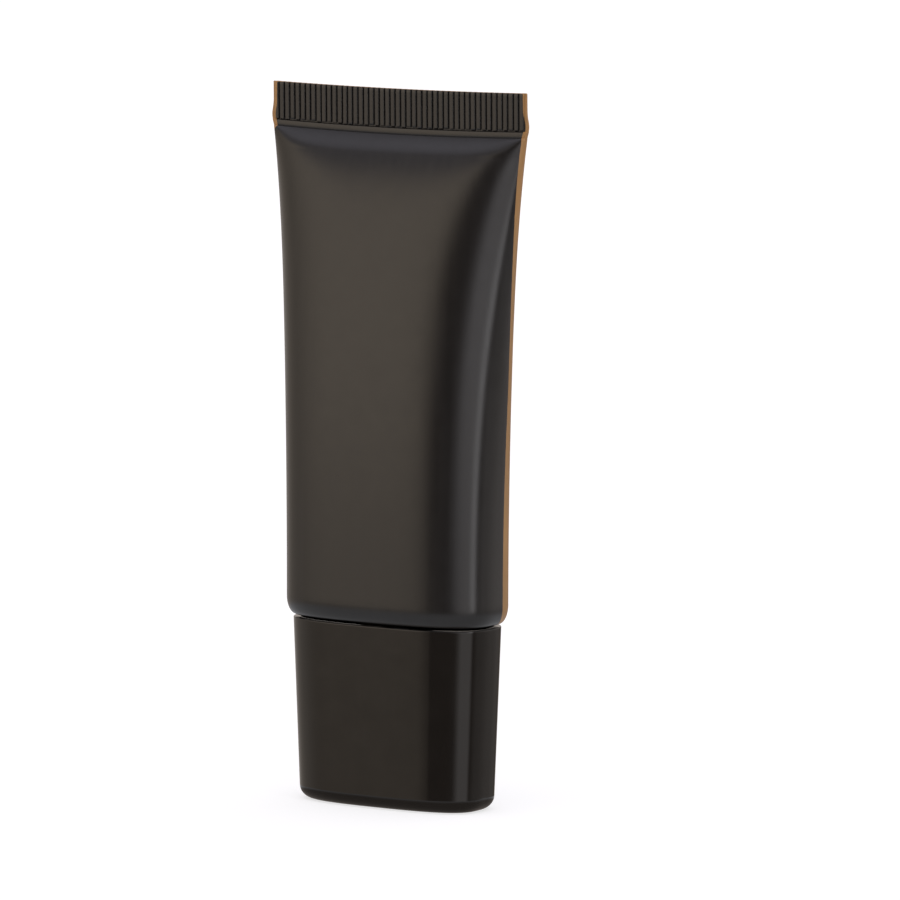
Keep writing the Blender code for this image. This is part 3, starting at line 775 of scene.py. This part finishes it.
class Nodes:
    """Short calls for building a node tree."""

    def __init__(self, tree):
        self.tree = tree

    def new(self, kind, **settings):
        node = self.tree.nodes.new(kind)
        for key, value in settings.items():
            setattr(node, key, value)
        return node

    def put(self, socket, value):
        if isinstance(value, bpy.types.NodeSocket):
            self.tree.links.new(value, socket)
        elif isinstance(value, (tuple, list)) and len(value) == 3 and len(socket.default_value) == 4:
            socket.default_value = (*value, 1)
        else:
            socket.default_value = value

    def math(self, operation, *values):
        node = self.new("ShaderNodeMath", operation=operation)
        for socket, value in zip(node.inputs, values):
            self.put(socket, value)
        return node.outputs[0]

    def remap(self, value, low, high, to_low=0.0, to_high=1.0, soft=True):
        node = self.new("ShaderNodeMapRange", interpolation_type="SMOOTHSTEP" if soft else "LINEAR")
        for socket, part in zip(node.inputs, (value, low, high, to_low, to_high)):
            self.put(socket, part)
        return node.outputs[0]

    def varied(self, noise, to_low, to_high):
        """Spreads a noise's usual range over a range of values."""
        return self.remap(noise, *NOISE_RANGE, to_low, to_high, soft=False)

    def mix(self, factor, first, second):
        node = self.new("ShaderNodeMix", data_type="RGBA")
        for name, value in (("Factor_Float", factor), ("A_Color", first), ("B_Color", second)):
            self.put(next(s for s in node.inputs if s.identifier == name), value)
        return next(s for s in node.outputs if s.identifier == "Result_Color")

    def noise(self, vector, scale, detail=2.0, roughness=0.5):
        node = self.new("ShaderNodeTexNoise")
        self.put(node.inputs["Vector"], vector)
        node.inputs["Scale"].default_value = scale
        node.inputs["Detail"].default_value = detail
        node.inputs["Roughness"].default_value = roughness
        return node.outputs["Fac"]

    def surface(self, kind, shader):
        self.put(self.new(kind).inputs["Surface"], shader.outputs[0])

    def squeezed(self, vector, share):
        """A place whose height counts only in part, so that a pattern runs up and down."""
        node = self.new("ShaderNodeVectorMath", operation="MULTIPLY")
        self.put(node.inputs[0], vector)
        node.inputs[1].default_value = (1, 1, share)
        return node.outputs[0]

    def scaled(self, colour, strength):
        node = self.new("ShaderNodeVectorMath", operation="SCALE")
        self.put(node.inputs[0], colour)
        self.put(node.inputs["Scale"], strength)
        return node.outputs[0]

    def added(self, first, second):
        node = self.new("ShaderNodeVectorMath", operation="ADD")
        self.put(node.inputs[0], first)
        self.put(node.inputs[1], second)
        return node.outputs[0]

    def bump(self, height, distance, strength, normal=None):
        node = self.new("ShaderNodeBump")
        node.inputs["Strength"].default_value = strength
        node.inputs["Distance"].default_value = distance
        self.put(node.inputs["Height"], height)
        if normal is not None:
            self.put(node.inputs["Normal"], normal)
        return node.outputs["Normal"]


def plastic(name, colour, ior=1.46):
    """A Principled material; gives back the material, its tree's helper and the shader."""
    material = bpy.data.materials.new(name)
    material.use_nodes = True
    nodes = Nodes(material.node_tree)
    shader = material.node_tree.nodes["Principled BSDF"]
    shader.inputs["Base Color"].default_value = (*colour, 1)
    shader.inputs["IOR"].default_value = ior
    material.diffuse_color = (*colour, 1)
    return material, nodes, shader


def place(nodes):
    return nodes.new("ShaderNodeTexCoord").outputs["Object"]


def sleeve_material():
    """Satin black print over a tan film: fine grain, faint draw lines, bare side strip and ends."""
    material, nodes, shader = plastic("satin_black_film", PRINT_BLACK)
    where = place(nodes)
    grain = nodes.noise(where, scale=5200, detail=3, roughness=0.6)
    mottle = nodes.noise(where, scale=420, detail=3, roughness=0.55)
    drawn = nodes.noise(nodes.squeezed(where, 0.03), scale=900)
    cloud = nodes.noise(where, scale=60)
    ragged = nodes.remap(nodes.noise(where, scale=700), 0, 1, -RAGGED, RAGGED, soft=False)
    bare = nodes.new("ShaderNodeAttribute", attribute_name="bare").outputs["Fac"]
    mask = nodes.remap(nodes.math("ADD", bare, ragged), -RAGGED / 2, RAGGED / 2)
    ink = nodes.scaled(PRINT_BLACK, nodes.varied(drawn, 0.86, 1.14))
    film = nodes.scaled(FILM_TAN, nodes.varied(cloud, 0.9, 1.1))
    nodes.put(shader.inputs["Base Color"], nodes.mix(mask, ink, film))
    rough = nodes.math("ADD", nodes.varied(mottle, 0.22, 0.26), nodes.varied(drawn, -0.015, 0.015))
    rough = nodes.math("ADD", rough, nodes.math("MULTIPLY", mask, FILM_ROUGHER))
    nodes.put(shader.inputs["Roughness"], rough)
    fine = nodes.bump(grain, distance=0.012 * MM, strength=0.6)
    nodes.put(shader.inputs["Normal"], nodes.bump(drawn, distance=0.01 * MM, strength=0.5, normal=fine))
    return material


def gloss_material(name, colour, rough_low, rough_high, ripple):
    """Polished black moulding: slight haze, orange peel and fine rub marks."""
    material, nodes, shader = plastic(name, colour)
    where = place(nodes)
    haze = nodes.noise(where, scale=180, detail=4, roughness=0.6)
    rubbed = nodes.noise(nodes.squeezed(where, 0.08), scale=1600, detail=3, roughness=0.6)
    peel = nodes.noise(where, scale=260, roughness=0.4)
    rough = nodes.remap(haze, 0.35, 0.65, rough_low, rough_high, soft=False)
    marks = nodes.remap(rubbed, 0.55, 0.75, 0, 0.03, soft=False)
    nodes.put(shader.inputs["Roughness"], nodes.math("ADD", rough, marks))
    nodes.put(shader.inputs["Base Color"], nodes.scaled(colour, nodes.varied(haze, 0.9, 1.1)))
    nodes.put(shader.inputs["Normal"], nodes.bump(peel, distance=ripple, strength=0.5))
    return material


def insert_material():
    """Milky polyethylene that lets a little light through."""
    material, nodes, shader = plastic("milky_plug", PLUG_MILK, ior=1.5)
    shader.inputs["Subsurface Weight"].default_value = 0.35
    shader.inputs["Subsurface Radius"].default_value = (1.0, 1.0, 1.1)
    shader.inputs["Subsurface Scale"].default_value = 0.8 * MM
    where = place(nodes)
    cloud = nodes.noise(where, scale=500, detail=3)
    grain = nodes.noise(where, scale=2400)
    nodes.put(shader.inputs["Base Color"], nodes.scaled(PLUG_MILK, nodes.varied(cloud, 0.93, 1.07)))
    nodes.put(shader.inputs["Roughness"], nodes.varied(cloud, 0.3, 0.4))
    nodes.put(shader.inputs["Normal"], nodes.bump(grain, distance=0.02 * MM, strength=0.5))
    return material


def foam_material():
    """Off-white closed-cell foam with fine pores, and painted shade in them."""
    material, nodes, shader = plastic("seal_foam", FOAM_WHITE, ior=1.4)
    where = place(nodes)
    cells = nodes.new("ShaderNodeTexVoronoi")
    nodes.put(cells.inputs["Vector"], where)
    cells.inputs["Scale"].default_value = 3200
    pores = nodes.remap(cells.outputs["Distance"], 0.0, 0.5)
    # painted shade: the pores' dips are darker, following their bump
    pore_shade = nodes.remap(pores, 0, 1, 0.82, 1.04, soft=False)
    nodes.put(shader.inputs["Base Color"], nodes.scaled(FOAM_WHITE, pore_shade))
    nodes.put(shader.inputs["Roughness"], nodes.remap(pores, 0, 1, 0.9, 0.75, soft=False))
    nodes.put(shader.inputs["Normal"], nodes.bump(pores, distance=0.05 * MM, strength=0.7))
    return material


# Soft boxes round the object, each: azimuth from -Y towards +X where it starts, how soft that edge is,
# where it ends, how soft that is, strength below and above the horizon, and tint.
STUDIO = (
    (-170, 12, -106, 14, 0.20, 0.55, (1.0, 0.92, 0.85)),  # pale wall far round on the left
    (-158, 14, -64, 14, 0.25, 0.0, (1.0, 0.93, 0.86)),  # low bounce under it
    (-106, 14, -9, 1.5, 0.20, 0.52, (1.0, 0.86, 0.70)),  # large warm wall on the left
    (-58, 22, -14, 5, 0.28, 1.18, (1.0, 0.86, 0.70)),  # its brighter part
    (21.5, 9, 78, 10, 0.04, 1.55, (1.0, 0.97, 1.0)),  # soft box on the right
    (62, 6, 77, 6, 0.0, 3.0, (1.0, 0.98, 1.0)),  # its core
    (34, 10, 75, 8, 0.8, 0.0, (1.0, 0.96, 0.95)),  # its low end
    (90, 14, 170, 14, 0.22, 0.80, (1.0, 0.95, 0.92)),  # spill beyond it
)
DARK_TINT = (0.12, 0.10, 0.088)
HORIZON_EDGE = (-10.5, -4.5)
CEILING_EDGE = (17, 29.5)  # elevation over which the walls give way to the dim ceiling
CEILING_TINT = (0.60, 0.57, 0.60)
OVERHEAD_EDGE = (36, 51)  # and the ceiling to the cool overhead light
OVERHEAD_TINT = (0.92, 0.90, 1.01)
TABLE_EDGE = (-12, -20)  # and, downwards, to the pale table
TABLE_TINT = (0.68, 0.69, 0.72)
FLOOR_HALF = 30.0
FLOOR_DROP = 0.01 * MM
FLOOR_GREY = (0.5, 0.5, 0.5)
FLOOR_GLOW = 0.66
# The card of painted shade, from the foot's outline: its middle, the end of its painted shade and its
# own end
CARD_MARGINS = (-2 * MM, 2.5 * MM, 8 * MM)
CARD_FADE = (0.0, 0.0, 1.0)
CARD_DROP = 0.03 * MM
CARD_SHADE = (0.25, 0.22, 0.20)


def studio_walls(nodes, azimuth, elevation):
    """Adds up the soft boxes for one direction."""
    lifted = nodes.remap(elevation, *HORIZON_EDGE)
    total = DARK_TINT
    for start, start_soft, end, end_soft, low, high, tint in STUDIO:
        opens = nodes.remap(azimuth, start - start_soft, start + start_soft)
        shuts = nodes.remap(azimuth, end - end_soft, end + end_soft, 1.0, 0.0)
        strength = nodes.math("MULTIPLY", nodes.math("MULTIPLY", opens, shuts),
                              nodes.remap(lifted, 0, 1, low, high, soft=False))
        total = nodes.added(total, nodes.scaled(tint, strength))
    return total


def build_world():
    """The studio as a pattern of directions; plain white where the camera looks straight at it."""
    world = bpy.data.worlds.new("studio")
    bpy.context.scene.world = world
    world.use_nodes = True
    tree = world.node_tree
    tree.nodes.clear()
    nodes = Nodes(tree)
    direction = nodes.new("ShaderNodeSeparateXYZ")
    nodes.put(direction.inputs[0], nodes.new("ShaderNodeTexCoord").outputs["Generated"])
    x, y, z = direction.outputs
    forward = nodes.math("MULTIPLY", y, -1.0)
    azimuth = nodes.math("MULTIPLY", nodes.math("ARCTAN2", x, forward), math.degrees(1))
    elevation = nodes.math("MULTIPLY", nodes.math("ARCSINE", z), math.degrees(1))
    total = studio_walls(nodes, azimuth, elevation)
    total = nodes.mix(nodes.remap(elevation, *CEILING_EDGE), total, CEILING_TINT)
    total = nodes.mix(nodes.remap(elevation, *OVERHEAD_EDGE), total, OVERHEAD_TINT)
    total = nodes.mix(nodes.remap(elevation, *TABLE_EDGE[::-1], 1.0, 0.0), total, TABLE_TINT)
    path = nodes.new("ShaderNodeLightPath")
    seen = nodes.math("MAXIMUM", path.outputs["Is Camera Ray"], path.outputs["Is Transmission Ray"])
    background = nodes.new("ShaderNodeBackground")
    nodes.put(background.inputs["Color"], nodes.mix(seen, total, (1.0, 1.0, 1.0)))
    nodes.surface("ShaderNodeOutputWorld", background)


def stage_piece(mesh, material_name, drop):
    """Puts a piece of the stage a little below the table's height; gives it back with its nodes."""
    made = bpy.data.objects.new(mesh.name, mesh)
    made.location.z = -drop
    bpy.context.scene.collection.objects.link(made)
    material = bpy.data.materials.new(material_name)
    material.use_nodes = True
    material.node_tree.nodes.clear()
    mesh.materials.append(material)
    return made, Nodes(material.node_tree)


def build_floor():
    """A wide pale floor that reads white but keeps the object's soft contact shadow."""
    mesh = bpy.data.meshes.new("floor")
    corners = [(x * FLOOR_HALF, y * FLOOR_HALF, 0) for x, y in ((-1, -1), (1, -1), (1, 1), (-1, 1))]
    mesh.from_pydata(corners, [], [(0, 1, 2, 3)])
    floor, nodes = stage_piece(mesh, "pale_floor", FLOOR_DROP)
    floor.visible_glossy = False
    matt = nodes.new("ShaderNodeBsdfDiffuse")
    nodes.put(matt.inputs["Color"], FLOOR_GREY)
    path = nodes.new("ShaderNodeLightPath")
    seen = nodes.math("MAXIMUM", path.outputs["Is Camera Ray"], path.outputs["Is Glossy Ray"])
    seen = nodes.math("MAXIMUM", seen, path.outputs["Is Transmission Ray"])
    glow = nodes.new("ShaderNodeEmission")
    nodes.put(glow.inputs["Strength"], nodes.math("MULTIPLY", seen, FLOOR_GLOW))
    both = nodes.new("ShaderNodeAddShader")
    nodes.put(both.inputs[0], matt.outputs[0])
    nodes.put(both.inputs[1], glow.outputs[0])
    nodes.surface("ShaderNodeOutputMaterial", both)


def build_contact_card():
    """A glowing card just under the floor that only gloss sees: painted shade close round the cap's
    foot, fading to a painted reflection of the table.
    """
    half_width, half_depth = CAP_RIM_HALF_WIDTH * CAP_FOOT_SHARE, CAP_RIM_HALF_DEPTH * CAP_FOOT_SHARE
    rings = [oval(half_width + margin, half_depth + margin, 0.0) for margin in CARD_MARGINS]
    shell = Shell()
    loops = shell.loft(rings, [np.full(OVAL_POINTS, value) for value in CARD_FADE])
    shell.close(loops[0], upwards=True)
    card, nodes = stage_piece(shell.mesh("contact_card", "away"), "shade_card", CARD_DROP)
    card.visible_camera = False
    card.visible_diffuse = False
    card.visible_transmission = False
    card.visible_shadow = False
    away = nodes.new("ShaderNodeAttribute", attribute_name="away").outputs["Fac"]
    # painted shade: the card glows dark at the foot and in the table's tint further out
    glow = nodes.new("ShaderNodeEmission")
    nodes.put(glow.inputs["Color"], nodes.mix(nodes.remap(away, 0, 1), CARD_SHADE, TABLE_TINT))
    nodes.surface("ShaderNodeOutputMaterial", glow)


def build_camera():
    turn, lift = math.radians(CAMERA_AZIMUTH), math.radians(CAMERA_ELEVATION)
    back = Vector((math.sin(turn) * math.cos(lift), -math.cos(turn) * math.cos(lift), math.sin(lift)))
    right = Vector((math.cos(turn), math.sin(turn), 0))
    up = Vector((-math.sin(turn) * math.sin(lift), math.cos(turn) * math.sin(lift), math.cos(lift)))
    place_at = LOOK_AT + back * CAMERA_DISTANCE
    target = LOOK_AT + right * AIM_RIGHT + up * AIM_UP
    data = bpy.data.cameras.new("camera")
    data.lens = CAMERA_LENS
    data.sensor_width = CAMERA_SENSOR
    data.clip_start, data.clip_end = CAMERA_CLIP
    camera = bpy.data.objects.new("camera", data)
    bpy.context.scene.collection.objects.link(camera)
    aim = (target - place_at).to_track_quat("-Z", "Y").to_matrix().to_4x4()
    roll = Matrix.Rotation(math.radians(CAMERA_ROLL), 4, "Z")
    camera.matrix_world = Matrix.Translation(place_at) @ aim @ roll
    bpy.context.scene.camera = camera


def main():
    build_camera()
    build_world()
    build_floor()
    build_contact_card()
    build_sleeve(sleeve_material())
    build_head(gloss_material("neck_black", MOULDED_BLACK, 0.16, 0.24, 0.03 * MM))
    build_insert(insert_material())
    build_cap_shell(gloss_material("cap_black", CAP_BLACK, 0.05, 0.09, 0.02 * MM))
    build_socket(gloss_material("liner_black", MOULDED_BLACK, 0.2, 0.3, 0.03 * MM))
    build_seal(foam_material())
    bpy.context.scene.view_settings.view_transform = "Standard"


main()
